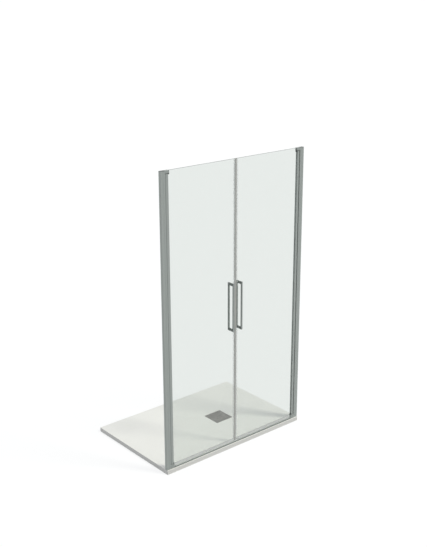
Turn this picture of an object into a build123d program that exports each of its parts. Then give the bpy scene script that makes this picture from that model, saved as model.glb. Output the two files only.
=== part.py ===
"""Niche shower enclosure: a low tray with a square drain, and two pivoting glass leaves
that close against each other with magnetic seals and open inwards and outwards.

The origin is the centre of the tray's underside. X runs to the right, Y runs into the
shower and Z runs up. All lengths are in millimetres. The pieces of the left half are made
first, and the pieces of the right half are their mirror images.
"""
import os
from math import sqrt

from build123d import *

# Driving sizes of the whole enclosure
tray_width = 1200.0
tray_depth = 800.0
tray_height = 30.0
frame_height = 2000.0

# Tray
tray_rim = 40.0
tray_fall = 14.0
tray_corner_radius = 3.0
tray_edge_radius = 2.0

# Drain cover, its recess and the waste under it
drain_offset = 175.0
cover_size = 143.0
cover_gap = 3.0
cover_sheet = 1.5
cover_skirt = 6.5
cover_corner_radius = 2.5
cover_edge_radius = 0.8
cover_foot_radius = 6.0
cover_foot_inset = 13.0
recess_depth = 8.0
waste_hole_radius = 45.0
waste_rebate_radius = 56.0
waste_rebate_depth = 4.0
waste_play = 0.5
waste_seal_thickness = 1.5
waste_neck_radius = 42.0
waste_bore_radius = 37.0
strainer_radius = 46.0
strainer_sheet = 1.5
strainer_play = 0.3
strainer_hole_radius = 3.0
strainer_rings = 3
strainer_ring_step = 10.0
strainer_holes_in_ring = 6

# Wall profile, and the jamb profile that telescopes in it
glass_setback = 16.5
pivot_from_wall = 45.0
profile_depth = 21.0
wall_profile_reach = 20.0
wall_profile_web = 2.0
wall_profile_flange = 1.6
telescope_play = 0.3
jamb_tongue_from_wall = 6.0
jamb_face_from_wall = 34.0
jamb_wall = 1.6
extrusion_radius = 0.8
wall_screw_hole_radius = 2.75
wall_screw_end_distance = 150.0
jamb_screw_count = 3
jamb_screw_end_distance = 200.0
jamb_screw_from_wall = 13.0
jamb_screw_radius = 1.7
jamb_screw_length = 6.5
jamb_screw_head_radius = 3.5
jamb_screw_head_height = 2.0
screw_flange_play = 0.4
screw_thread_play = 0.05
screw_recess_radius = 1.1
screw_recess_depth = 1.2
cap_thickness = 2.0
cap_plug_depth = 6.0
cap_plug_play = 0.2

# Slot in the jamb's face, for the seal strip and the pivot blocks' tenons
slot_mouth_half = 3.2
slot_mouth_depth = 2.0
slot_foot_half = 4.5
slot_foot_depth = 2.0
slot_play = 0.1
seal_bulb_half = 4.6
seal_running_gap = 0.3

# Pivot blocks, pins, bushes and washers
block_low_height = 30.0
block_high_height = 17.0
block_end_radius = 19.5
block_edge_radius = 0.6
block_screw_radius = 1.5
block_screw_setback = 3.0
block_screw_sink = 0.5
thrust_washer_thickness = 2.0
thrust_washer_radius = 8.5
thrust_washer_play = 0.3
pin_radius = 4.0
pin_seat_depth = 12.0
pin_reach = 26.0
pin_seat_play = 0.02
pin_running_play = 0.05
pin_end_chamfer = 0.8
bush_radius = 6.0
bush_length = 30.0
bush_seat_play = 0.02
pin_relief_play = 0.6
pin_relief_depth = 8.0

# Hinge stile, its end plugs and the glazing gasket
stile_half_depth = 9.7
stile_lip = 12.0
stile_wall = 1.6
stile_slot_half = 4.2
stile_slot_floor = 1.0
plug_plate = 2.0
plug_barrel_radius = 7.8
plug_barrel_play = 0.1
plug_barrel_length = 44.0
plug_tongue_height = 5.0
plug_tongue_play = 0.3
plug_lug_width = 3.4
plug_lug_height = 10.0
plug_lug_gap = 0.6
gasket_web = 1.2
gasket_lip_length = 2.0

# Glass leaf
glass_thickness = 6.0
glass_top_drop = 0.5
glass_bottom_gap = 16.0
glass_block_clearance = 1.0
glass_barrel_clearance = 2.2
glass_corner_radius = 2.0
glass_arris = 0.5

# Seals at the closing edge and at the bottom
closing_gap = 0.6
magnet_chamber_width = 6.2
magnet_chamber_depth = 8.0
magnet_seal_wall = 1.0
magnet_seal_leg = 11.0
magnet_play = 0.15
magnet_strip_end_inset = 12.0
drip_leg_height = 12.0
drip_web = 1.0
drip_wall = 1.0
drip_lip_drop = 1.8
drip_lip_thickness = 1.1
drip_lip_lean = 3.0
drip_end_clearance = 2.0
seal_joint_gap = 0.3

# Pull handles, one each side of each leaf, clamped through the glass
handle_bar = 10.0
handle_post_height = 16.0
handle_height = 336.0
handle_centre_height = 1037.0
handle_from_centre = 36.0
handle_stand_off = 25.0
handle_edge_radius = 0.8
handle_washer_radius = 4.9
handle_washer_thickness = 1.0
handle_collar_radius = 4.2
handle_hole_play = 0.3
stud_radius = 2.5
stud_half_length = 18.0
stud_play = 0.05
stud_collar_play = 0.15
grub_radius = 1.5
grub_sink = 0.2
grub_recess_radius = 0.6
grub_recess_depth = 1.0

# Threshold rail and its ends
rail_height = 12.0
rail_wall = 1.6
rail_nose = 2.0
rail_flat_share = 0.4
rail_inner_height = 5.0
rail_end_length = 10.0
rail_spigot_length = 8.0
rail_spigot_play = 0.2
rail_joint_gap = 0.3

# Places worked out from the sizes above
half_width = tray_width / 2
half_depth = tray_depth / 2
frame_bottom = tray_height
frame_top = tray_height + frame_height
pivot_x = -half_width + pivot_from_wall
door_y = -half_depth + glass_setback
half_profile = profile_depth / 2
half_glass = glass_thickness / 2
wall_u = -pivot_from_wall
tongue_u = wall_u + jamb_tongue_from_wall
head_u = wall_u + wall_profile_reach + telescope_play
face_u = wall_u + jamb_face_from_wall
tongue_half = half_profile - wall_profile_flange - telescope_play
slot_mouth_u = face_u - slot_mouth_depth
slot_foot_u = slot_mouth_u - slot_foot_depth
chamber_end_u = slot_foot_u - jamb_wall
profile_top = frame_top - cap_thickness
block_low_top = frame_bottom + block_low_height
block_high_bottom = frame_top - block_high_height
leaf_bottom = block_low_top + thrust_washer_thickness
leaf_top = block_high_bottom - thrust_washer_thickness
glass_edge_u = stile_slot_floor + gasket_web
glass_step_u = plug_barrel_radius + glass_barrel_clearance
glass_low_notch_u = block_end_radius + glass_block_clearance
lug_start_u = block_end_radius + plug_lug_gap
lug_end_u = lug_start_u + plug_lug_width
glass_high_notch_u = lug_end_u + plug_tongue_play
glass_free_u = -pivot_x - closing_gap / 2 - magnet_chamber_width - magnet_seal_wall
glass_bottom = frame_bottom + glass_bottom_gap
glass_top = frame_top - glass_top_drop
seal_leg_u = glass_free_u - magnet_seal_leg
tongue_depth_z = plug_plate + plug_tongue_height
step_depth_z = plug_plate + plug_barrel_length + glass_barrel_clearance
drain_top = tray_height - tray_fall
recess_floor = drain_top - recess_depth
recess_size = cover_size + 2 * cover_gap
rebate_floor = recess_floor - waste_rebate_depth
flange_bottom = rebate_floor + waste_seal_thickness
handle_u = -pivot_x - handle_from_centre
handle_bottom = handle_centre_height - handle_height / 2
handle_top = handle_centre_height + handle_height / 2
post_heights = (handle_bottom + handle_post_height / 2, handle_top - handle_post_height / 2)
post_end_v = half_glass + handle_washer_thickness
glass_hole_radius = handle_collar_radius + handle_hole_play
rail_end_u = block_end_radius + rail_joint_gap + rail_end_length

os.makedirs("parts", exist_ok=True)
single_pieces = []
left_pieces = []


def finish_piece(piece, name, pieces):
    """Label a finished piece and keep it for writing."""
    piece.part.label = name
    pieces.append(piece)


def at_pivot(height):
    """A level plane whose origin is the left leaf's pivot axis."""
    return Plane(origin=(pivot_x, door_y, height))


def across_door(u):
    """An upright plane square to the door line: local x runs inwards, local y up."""
    return Plane(origin=(pivot_x + u, door_y, 0), x_dir=(0, 1, 0), z_dir=(1, 0, 0))


def door_face():
    """The upright plane in the middle of the glass: local x to the right, local y up."""
    return Plane(origin=(pivot_x, door_y, 0), x_dir=(1, 0, 0), z_dir=(0, -1, 0))


def inwards_from(u, v, height):
    """A plane facing into the shower, at a place given from the pivot axis."""
    return Plane(origin=(pivot_x + u, door_y + v, height), x_dir=(1, 0, 0), z_dir=(0, 1, 0))


def into_leaf(end_height, up):
    """A level plane at one end of the leaf, whose normal points into the leaf."""
    return Plane(origin=(pivot_x, door_y, end_height), x_dir=(1, 0, 0), z_dir=(0, 0, up))


def band(start, end, depth, mode=Mode.ADD):
    """A rectangle from one place to another along local x, centred across it."""
    with Locations((start, 0)):
        Rectangle(end - start, depth, align=(Align.MIN, Align.CENTER), mode=mode)


def nosed_outline(radius, lip):
    """A half-round nose about the pivot axis, with straight sides up to the lip."""
    with BuildSketch() as outline:
        with BuildLine():
            Line((0, radius), (lip, radius))
            Line((lip, radius), (lip, -radius))
            Line((lip, -radius), (0, -radius))
            ThreePointArc((0, -radius), (-radius, 0), (0, radius))
        make_face()
    return outline.sketch


# Shower tray: a flat rim, four planes that fall to the drain, and the recess for the cover
with BuildPart() as shower_tray:
    with BuildSketch():
        RectangleRounded(tray_width, tray_depth, tray_corner_radius)
    extrude(amount=tray_height)
    fillet(faces().sort_by(Axis.Z)[-1].edges(), tray_edge_radius)
    with BuildSketch(Plane.XY.offset(tray_height)):
        Rectangle(tray_width - 2 * tray_rim, tray_depth - 2 * tray_rim)
    with BuildSketch(Plane.XY.offset(drain_top)):
        with Locations((drain_offset, 0)):
            Rectangle(recess_size, recess_size)
    loft(ruled=True, mode=Mode.SUBTRACT)
    with BuildSketch(Plane.XY.offset(drain_top)):
        with Locations((drain_offset, 0)):
            Rectangle(recess_size, recess_size)
    extrude(amount=-recess_depth, mode=Mode.SUBTRACT)
    with BuildSketch(Plane.XY.offset(recess_floor)):
        with Locations((drain_offset, 0)):
            Circle(waste_rebate_radius)
    extrude(amount=-waste_rebate_depth, mode=Mode.SUBTRACT)
    with BuildSketch(Plane.XY.offset(rebate_floor)):
        with Locations((drain_offset, 0)):
            Circle(waste_hole_radius)
    extrude(amount=-rebate_floor, mode=Mode.SUBTRACT)
finish_piece(shower_tray, "shower_tray", single_pieces)

# Waste: a rubber ring in the rebate, a flanged outlet on it and a strainer on the flange
with BuildPart() as waste_seal:
    with BuildSketch(Plane.XY.offset(rebate_floor)):
        with Locations((drain_offset, 0)):
            Circle(waste_rebate_radius - waste_play)
            Circle(waste_neck_radius + waste_play, mode=Mode.SUBTRACT)
    extrude(amount=waste_seal_thickness)
finish_piece(waste_seal, "waste_seal", single_pieces)

with BuildPart() as waste_flange:
    with BuildSketch(Plane.XY.offset(flange_bottom)):
        with Locations((drain_offset, 0)):
            Circle(waste_rebate_radius - waste_play)
    extrude(amount=recess_floor - flange_bottom)
    with BuildSketch():
        with Locations((drain_offset, 0)):
            Circle(waste_neck_radius)
    extrude(amount=flange_bottom)
    with BuildSketch():
        with Locations((drain_offset, 0)):
            Circle(waste_bore_radius)
    extrude(amount=recess_floor, mode=Mode.SUBTRACT)
    with BuildSketch(Plane.XY.offset(recess_floor)):
        with Locations((drain_offset, 0)):
            Circle(strainer_radius + strainer_play)
    extrude(amount=-strainer_sheet, mode=Mode.SUBTRACT)
finish_piece(waste_flange, "waste_flange", single_pieces)

with BuildPart() as hair_strainer:
    with BuildSketch(Plane.XY.offset(recess_floor - strainer_sheet)):
        with Locations((drain_offset, 0)):
            Circle(strainer_radius)
            Circle(strainer_hole_radius, mode=Mode.SUBTRACT)
            for ring in range(1, strainer_rings + 1):
                with PolarLocations(ring * strainer_ring_step, ring * strainer_holes_in_ring):
                    Circle(strainer_hole_radius, mode=Mode.SUBTRACT)
    extrude(amount=strainer_sheet)
finish_piece(hair_strainer, "hair_strainer", single_pieces)

# Drain cover: a folded sheet with a skirt, level with the lowest line of the tray
with BuildPart() as drain_cover:
    with BuildSketch(Plane.XY.offset(drain_top - cover_skirt)):
        with Locations((drain_offset, 0)):
            RectangleRounded(cover_size, cover_size, cover_corner_radius)
    extrude(amount=cover_skirt)
    fillet(faces().sort_by(Axis.Z)[-1].edges(), cover_edge_radius)
    with BuildSketch(Plane.XY.offset(drain_top - cover_skirt)):
        with Locations((drain_offset, 0)):
            Rectangle(cover_size - 2 * cover_sheet, cover_size - 2 * cover_sheet)
    extrude(amount=cover_skirt - cover_sheet, mode=Mode.SUBTRACT)
finish_piece(drain_cover, "drain_cover", single_pieces)

foot_spacing = cover_size - 2 * cover_foot_inset
with BuildPart() as drain_cover_feet:
    with BuildSketch(Plane.XY.offset(recess_floor)):
        with Locations((drain_offset, 0)):
            with GridLocations(foot_spacing, foot_spacing, 2, 2):
                Circle(cover_foot_radius)
    extrude(amount=recess_depth - cover_sheet)
finish_piece(drain_cover_feet, "drain_cover_feet", single_pieces)


def rail_section(inset):
    """Section of the threshold rail, upright outside and sloping down inside."""
    with BuildSketch() as section:
        with BuildLine():
            Polyline(
                (-half_profile, frame_bottom),
                (-half_profile, frame_bottom + rail_height - rail_nose),
                (rail_nose - half_profile, frame_bottom + rail_height),
                (half_profile * rail_flat_share, frame_bottom + rail_height),
                (half_profile, frame_bottom + rail_inner_height),
                (half_profile, frame_bottom),
                close=True,
            )
        make_face()
        if inset:
            offset(amount=-inset, kind=Kind.INTERSECTION, mode=Mode.REPLACE)
    return section.sketch


# Threshold rail on the tray's rim, between the two end pieces
with BuildPart() as threshold_rail:
    with BuildSketch(across_door(rail_end_u)):
        add(rail_section(0))
        add(rail_section(rail_wall), mode=Mode.SUBTRACT)
    extrude(amount=2 * (-pivot_x - rail_end_u))
finish_piece(threshold_rail, "threshold_rail", single_pieces)

# Threshold end: fills the rail's line up to the bottom pivot block, with a spigot in the rail
with BuildPart() as left_threshold_end:
    with BuildSketch(across_door(0)):
        add(rail_section(0))
    extrude(amount=rail_end_u)
    with BuildSketch(across_door(rail_end_u)):
        add(rail_section(rail_wall + rail_spigot_play))
    extrude(amount=rail_spigot_length)
    with BuildSketch(at_pivot(frame_bottom)):
        Circle(block_end_radius + rail_joint_gap)
    extrude(amount=rail_height, mode=Mode.SUBTRACT)
finish_piece(left_threshold_end, "left_threshold_end", left_pieces)

# Wall profile: a channel screwed to the wall, open towards the door
jamb_screw_u = wall_u + jamb_screw_from_wall
jamb_screw_step = (frame_height - 2 * jamb_screw_end_distance) / (jamb_screw_count - 1)
jamb_screw_heights = [
    frame_bottom + jamb_screw_end_distance + index * jamb_screw_step
    for index in range(jamb_screw_count)
]
wall_screw_heights = (
    frame_bottom + wall_screw_end_distance,
    frame_bottom + frame_height / 2,
    frame_top - wall_screw_end_distance,
)

with BuildPart() as left_wall_profile:
    with BuildSketch(at_pivot(frame_bottom)) as channel:
        band(wall_u, wall_u + wall_profile_reach, profile_depth)
        fillet(channel.vertices(), extrusion_radius)
        band(
            wall_u + wall_profile_web,
            wall_u + wall_profile_reach,
            profile_depth - 2 * wall_profile_flange,
            mode=Mode.SUBTRACT,
        )
    extrude(amount=profile_top - frame_bottom)
    for height in wall_screw_heights:
        with BuildSketch(across_door(wall_u)):
            with Locations((0, height)):
                Circle(wall_screw_hole_radius)
        extrude(amount=wall_profile_web, mode=Mode.SUBTRACT)
    for height in jamb_screw_heights:
        with BuildSketch(inwards_from(jamb_screw_u, tongue_half, height)):
            Circle(jamb_screw_radius + screw_flange_play)
        extrude(amount=half_profile - tongue_half, mode=Mode.SUBTRACT)
finish_piece(left_wall_profile, "left_wall_profile", left_pieces)

# Jamb profile: a tongue that telescopes in the channel, and a head with a slot in its face
block_screw_u = slot_mouth_u - slot_foot_depth / 2
block_screw_heights = (
    block_low_top - block_low_height / 2,
    block_high_bottom + block_high_height / 2,
)

with BuildPart() as left_jamb_profile:
    with BuildSketch(at_pivot(frame_bottom)) as jamb:
        band(tongue_u, face_u, 2 * tongue_half)
        band(head_u, face_u, profile_depth)
        fillet(jamb.vertices().group_by(Axis.X)[-1], extrusion_radius)
        band(tongue_u + jamb_wall, head_u, 2 * (tongue_half - jamb_wall), mode=Mode.SUBTRACT)
        band(
            head_u + jamb_wall,
            chamber_end_u,
            profile_depth - 2 * jamb_wall,
            mode=Mode.SUBTRACT,
        )
        band(slot_mouth_u, face_u, 2 * slot_mouth_half, mode=Mode.SUBTRACT)
        band(slot_foot_u, slot_mouth_u, 2 * slot_foot_half, mode=Mode.SUBTRACT)
    extrude(amount=profile_top - frame_bottom)
    for height in jamb_screw_heights:
        with BuildSketch(inwards_from(jamb_screw_u, tongue_half - jamb_wall, height)):
            Circle(jamb_screw_radius + screw_thread_play)
        extrude(amount=jamb_wall, mode=Mode.SUBTRACT)
    for height in block_screw_heights:
        with BuildSketch(inwards_from(block_screw_u, slot_foot_half, height)):
            Circle(block_screw_radius + screw_thread_play)
        extrude(amount=half_profile - slot_foot_half, mode=Mode.SUBTRACT)
finish_piece(left_jamb_profile, "left_jamb_profile", left_pieces)

# Screws that fix the jamb in the wall profile, from inside the shower
with BuildPart() as left_jamb_screws:
    for height in jamb_screw_heights:
        with BuildSketch(inwards_from(jamb_screw_u, half_profile, height)):
            Circle(jamb_screw_head_radius)
        extrude(amount=jamb_screw_head_height)
        with BuildSketch(inwards_from(jamb_screw_u, half_profile, height)):
            Circle(jamb_screw_radius)
        extrude(amount=-jamb_screw_length)
        with BuildSketch(
            inwards_from(jamb_screw_u, half_profile + jamb_screw_head_height, height)
        ):
            Rectangle(2 * screw_recess_radius, screw_recess_radius / 2)
            Rectangle(screw_recess_radius / 2, 2 * screw_recess_radius)
        extrude(amount=-screw_recess_depth, mode=Mode.SUBTRACT)
finish_piece(left_jamb_screws, "left_jamb_screws", left_pieces)

# Cap over the ends of both profiles, with a plug in each of the jamb's chambers
with BuildPart() as left_top_cap:
    with BuildSketch(at_pivot(profile_top)) as cap_plate:
        band(wall_u, face_u, profile_depth)
        fillet(cap_plate.vertices().group_by(Axis.X)[0], extrusion_radius)
    extrude(amount=cap_thickness)
    with BuildSketch(at_pivot(profile_top)):
        band(
            tongue_u + jamb_wall + cap_plug_play,
            head_u - cap_plug_play,
            2 * (tongue_half - jamb_wall - cap_plug_play),
        )
        band(
            head_u + jamb_wall + cap_plug_play,
            chamber_end_u - cap_plug_play,
            2 * (half_profile - jamb_wall - cap_plug_play),
        )
    extrude(amount=-cap_plug_depth)
finish_piece(left_top_cap, "left_top_cap", left_pieces)


def tenon():
    """The section that slides in the slot of the jamb's face."""
    band(slot_mouth_u - slot_play, face_u, 2 * (slot_mouth_half - slot_play))
    band(
        slot_foot_u + slot_play,
        slot_mouth_u - slot_play,
        2 * (slot_foot_half - slot_play),
    )


# Seal strip in the jamb's slot, which stops just short of the stile's nose
with BuildPart() as left_jamb_seal:
    with BuildSketch(at_pivot(block_low_top)) as bulb:
        band(face_u, -stile_half_depth - seal_running_gap, 2 * seal_bulb_half)
        tenon()
    extrude(amount=block_high_bottom - block_low_top)
finish_piece(left_jamb_seal, "left_jamb_seal", left_pieces)


def pivot_block(bottom, top, tenon_top, up):
    """An arm on the jamb's face that carries the pin, with a tenon in the jamb's slot."""
    arc_start = sqrt(block_end_radius ** 2 - half_profile ** 2)
    with BuildPart() as block:
        with BuildSketch(at_pivot(bottom)):
            with BuildLine():
                Line((arc_start, half_profile), (face_u, half_profile))
                Line((face_u, half_profile), (face_u, -half_profile))
                Line((face_u, -half_profile), (arc_start, -half_profile))
                ThreePointArc(
                    (arc_start, -half_profile),
                    (block_end_radius, 0),
                    (arc_start, half_profile),
                )
            make_face()
        extrude(amount=top - bottom)
        joint_plane = pivot_x + face_u
        free_edges = block.edges().filter_by(
            lambda edge: edge.center().X > joint_plane + block_edge_radius
        )
        fillet(free_edges, block_edge_radius)
        with BuildSketch(at_pivot(bottom)):
            tenon()
        extrude(amount=tenon_top - bottom)
        with BuildSketch(into_leaf(top if up > 0 else bottom, -up)):
            Circle(pin_radius + pin_seat_play)
        extrude(amount=pin_seat_depth, mode=Mode.SUBTRACT)
    return block


# Pivot blocks on the jamb, one at the tray and one at the top
left_bottom_pivot_block = pivot_block(frame_bottom, block_low_top, block_low_top, 1)
finish_piece(left_bottom_pivot_block, "left_bottom_pivot_block", left_pieces)

left_top_pivot_block = pivot_block(block_high_bottom, frame_top, profile_top, -1)
finish_piece(left_top_pivot_block, "left_top_pivot_block", left_pieces)

# Grub screws that clamp the two blocks' tenons in the jamb's slot
with BuildPart() as left_block_screws:
    for height in block_screw_heights:
        with BuildSketch(inwards_from(block_screw_u, slot_foot_half, height)):
            Circle(block_screw_radius)
        extrude(amount=half_profile - slot_foot_half - block_screw_sink)
        with BuildSketch(
            inwards_from(block_screw_u, half_profile - block_screw_sink, height)
        ):
            RegularPolygon(block_screw_radius / 2, 6)
        extrude(amount=-block_screw_setback, mode=Mode.SUBTRACT)
finish_piece(left_block_screws, "left_block_screws", left_pieces)

# Each pivot is a steel pin in its block, which turns in a bush in the leaf
pivot_ends = ((leaf_bottom, 1), (leaf_top, -1))

with BuildPart() as left_pivot_pins:
    seat_to_leaf = pin_seat_depth + thrust_washer_thickness
    for end_height, up in pivot_ends:
        with BuildSketch(into_leaf(end_height - up * seat_to_leaf, up)):
            Circle(pin_radius)
        extrude(amount=seat_to_leaf + pin_reach)
    pin_ends = edges().filter_by(GeomType.CIRCLE).group_by(Axis.Z)
    chamfer(pin_ends[1] + pin_ends[-2], pin_end_chamfer)
finish_piece(left_pivot_pins, "left_pivot_pins", left_pieces)

with BuildPart() as left_thrust_washers:
    for end_height, up in pivot_ends:
        with BuildSketch(into_leaf(end_height, up)):
            Circle(thrust_washer_radius)
            Circle(pin_radius + thrust_washer_play, mode=Mode.SUBTRACT)
        extrude(amount=-thrust_washer_thickness)
finish_piece(left_thrust_washers, "left_thrust_washers", left_pieces)

with BuildPart() as left_pivot_bushes:
    for end_height, up in pivot_ends:
        with BuildSketch(into_leaf(end_height, up)):
            Circle(bush_radius)
            Circle(pin_radius + pin_running_play, mode=Mode.SUBTRACT)
        extrude(amount=bush_length)
finish_piece(left_pivot_bushes, "left_pivot_bushes", left_pieces)


def end_plug(end_height, up, tongue_end_u):
    """A moulded plug: end plate, bush barrel in the stile, tongue in the glass's notch."""
    with BuildPart() as plug:
        with BuildSketch(into_leaf(end_height, up)):
            add(nosed_outline(stile_half_depth, stile_lip))
        extrude(amount=plug_plate)
        with BuildSketch(into_leaf(end_height, up)):
            Circle(plug_barrel_radius)
        extrude(amount=plug_plate + plug_barrel_length)
        with BuildSketch(door_face()) as tongue:
            with Locations((0, end_height)):
                Rectangle(
                    tongue_end_u,
                    tongue_depth_z - plug_tongue_play,
                    align=(Align.MIN, Align.MIN if up > 0 else Align.MAX),
                )
            fillet(tongue.vertices().group_by(Axis.X)[-1], glass_corner_radius)
        extrude(amount=half_glass, both=True)
        with BuildSketch(into_leaf(end_height, up)):
            Circle(bush_radius + bush_seat_play)
        extrude(amount=bush_length, mode=Mode.SUBTRACT)
        with BuildSketch(into_leaf(end_height, up)):
            Circle(pin_radius + pin_relief_play)
        extrude(amount=bush_length + pin_relief_depth, mode=Mode.SUBTRACT)
    return plug


left_bottom_end_plug = end_plug(leaf_bottom, 1, glass_low_notch_u - plug_tongue_play)
finish_piece(left_bottom_end_plug, "left_bottom_end_plug", left_pieces)

# The top plug also has a lug that fills the notch in the glass beyond the block's end
with BuildPart() as left_top_end_plug:
    add(end_plug(leaf_top, -1, lug_end_u))
    with BuildSketch(door_face()) as lug:
        with Locations((lug_start_u, leaf_top - plug_plate)):
            Rectangle(
                plug_lug_width, plug_plate + plug_lug_height, align=(Align.MIN, Align.MIN)
            )
        fillet(lug.vertices().group_by(Axis.Z)[-1], glass_arris)
    extrude(amount=half_glass, both=True)
finish_piece(left_top_end_plug, "left_top_end_plug", left_pieces)

# Hinge stile: an extrusion with a round nose, four chambers and the slot for the glass
stile_bottom = leaf_bottom + plug_plate
stile_height = leaf_top - leaf_bottom - 2 * plug_plate
side_chamber_low = stile_slot_half + stile_wall
side_chamber_high = stile_half_depth - stile_wall

with BuildPart() as left_hinge_stile:
    with BuildSketch(at_pivot(stile_bottom)):
        add(nosed_outline(stile_half_depth, stile_lip))
        with BuildLine():
            nose_radius = stile_half_depth - stile_wall
            nose_cut_u = stile_slot_floor - stile_wall
            nose_cut_v = sqrt(nose_radius ** 2 - nose_cut_u ** 2)
            Line((nose_cut_u, nose_cut_v), (nose_cut_u, -nose_cut_v))
            ThreePointArc(
                (nose_cut_u, -nose_cut_v), (-nose_radius, 0), (nose_cut_u, nose_cut_v)
            )
        make_face(mode=Mode.SUBTRACT)
        band(stile_slot_floor, stile_lip, 2 * stile_slot_half, mode=Mode.SUBTRACT)
        for side in (1, -1):
            with Locations((stile_slot_floor, side * (side_chamber_low + side_chamber_high) / 2)):
                Rectangle(
                    stile_lip - stile_wall - stile_slot_floor,
                    side_chamber_high - side_chamber_low,
                    align=(Align.MIN, Align.CENTER),
                    mode=Mode.SUBTRACT,
                )
    extrude(amount=stile_height)
    for end_height, up in ((stile_bottom, 1), (stile_bottom + stile_height, -1)):
        with BuildSketch(into_leaf(end_height, up)):
            Circle(plug_barrel_radius + plug_barrel_play)
        extrude(amount=plug_barrel_length + plug_barrel_play, mode=Mode.SUBTRACT)
finish_piece(left_hinge_stile, "left_hinge_stile", left_pieces)

# Glazing gasket: a channel round the glass edge, whose lips run on beside the end plugs
gasket_bottom = leaf_bottom + step_depth_z
gasket_top = leaf_top - step_depth_z
lip_bottom = leaf_bottom + tongue_depth_z
lip_top = leaf_top - tongue_depth_z

with BuildPart() as left_glazing_gasket:
    with BuildSketch(at_pivot(gasket_bottom)):
        band(stile_slot_floor, stile_lip, 2 * stile_slot_half)
        band(glass_edge_u, stile_lip, glass_thickness, mode=Mode.SUBTRACT)
    extrude(amount=gasket_top - gasket_bottom)
    with BuildSketch(at_pivot(lip_bottom)):
        band(stile_lip - gasket_lip_length, stile_lip, 2 * stile_slot_half)
        band(stile_lip - gasket_lip_length, stile_lip, glass_thickness, mode=Mode.SUBTRACT)
    extrude(amount=lip_top - lip_bottom)
finish_piece(left_glazing_gasket, "left_glazing_gasket", left_pieces)

# Glass leaf, notched in two steps at both pivots, with two holes for the handles
with BuildPart() as left_glass_panel:
    with BuildSketch(door_face()) as leaf_outline:
        with BuildLine():
            Polyline(
                (glass_low_notch_u, glass_bottom),
                (glass_free_u, glass_bottom),
                (glass_free_u, glass_top),
                (glass_high_notch_u, glass_top),
                (glass_high_notch_u, lip_top),
                (glass_step_u, lip_top),
                (glass_step_u, gasket_top),
                (glass_edge_u, gasket_top),
                (glass_edge_u, gasket_bottom),
                (glass_step_u, gasket_bottom),
                (glass_step_u, lip_bottom),
                (glass_low_notch_u, lip_bottom),
                close=True,
            )
        make_face()
        fillet(leaf_outline.vertices(), glass_corner_radius)
    extrude(amount=half_glass, both=True)
    chamfer(faces().sort_by(Axis.Y)[0].edges() + faces().sort_by(Axis.Y)[-1].edges(), glass_arris)
    with BuildSketch(door_face()):
        for height in post_heights:
            with Locations((handle_u, height)):
                Circle(glass_hole_radius)
    extrude(amount=half_glass, both=True, mode=Mode.SUBTRACT)
finish_piece(left_glass_panel, "left_glass_panel", left_pieces)

# Closing seal: legs on both faces of the glass, and a chamber that holds the magnet
chamber_u = glass_free_u + magnet_seal_wall
magnet_u = chamber_u + magnet_seal_wall + magnet_play
seal_bottom = glass_bottom - drip_web - drip_lip_drop
chamber_inner_width = magnet_chamber_width - 2 * magnet_seal_wall
chamber_inner_depth = magnet_chamber_depth - 2 * magnet_seal_wall

with BuildPart() as left_magnet_seal:
    with BuildSketch(at_pivot(seal_bottom)):
        band(seal_leg_u, chamber_u, glass_thickness + 2 * magnet_seal_wall)
        band(seal_leg_u, glass_free_u, glass_thickness, mode=Mode.SUBTRACT)
        band(chamber_u, chamber_u + magnet_chamber_width, magnet_chamber_depth)
        band(
            chamber_u + magnet_seal_wall,
            chamber_u + magnet_chamber_width - magnet_seal_wall,
            chamber_inner_depth,
            mode=Mode.SUBTRACT,
        )
    extrude(amount=glass_top - seal_bottom)
finish_piece(left_magnet_seal, "left_magnet_seal", left_pieces)

with BuildPart() as left_magnet_strip:
    with BuildSketch(at_pivot(seal_bottom + magnet_strip_end_inset)):
        band(
            magnet_u,
            magnet_u + chamber_inner_width - 2 * magnet_play,
            chamber_inner_depth - 2 * magnet_play,
        )
    extrude(amount=glass_top - seal_bottom - 2 * magnet_strip_end_inset)
finish_piece(left_magnet_strip, "left_magnet_strip", left_pieces)

# Drip seal: a channel pushed on the glass's bottom edge, with a wiper that leans inwards
drip_start_u = block_end_radius + drip_end_clearance
drip_end_u = seal_leg_u - seal_joint_gap
drip_half = half_glass + drip_wall

with BuildPart() as left_drip_seal:
    with BuildSketch(across_door(drip_start_u)):
        with Locations((0, glass_bottom - drip_web)):
            Rectangle(2 * drip_half, drip_web + drip_leg_height, align=(Align.CENTER, Align.MIN))
        with Locations((0, glass_bottom)):
            Rectangle(
                glass_thickness, drip_leg_height, align=(Align.CENTER, Align.MIN), mode=Mode.SUBTRACT
            )
        with BuildLine():
            Polyline(
                (-drip_lip_thickness, glass_bottom - drip_web),
                (drip_lip_thickness, glass_bottom - drip_web),
                (drip_lip_lean, seal_bottom),
                (drip_lip_lean - drip_lip_thickness, seal_bottom),
                close=True,
            )
        make_face()
    extrude(amount=drip_end_u - drip_start_u)
finish_piece(left_drip_seal, "left_drip_seal", left_pieces)


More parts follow.
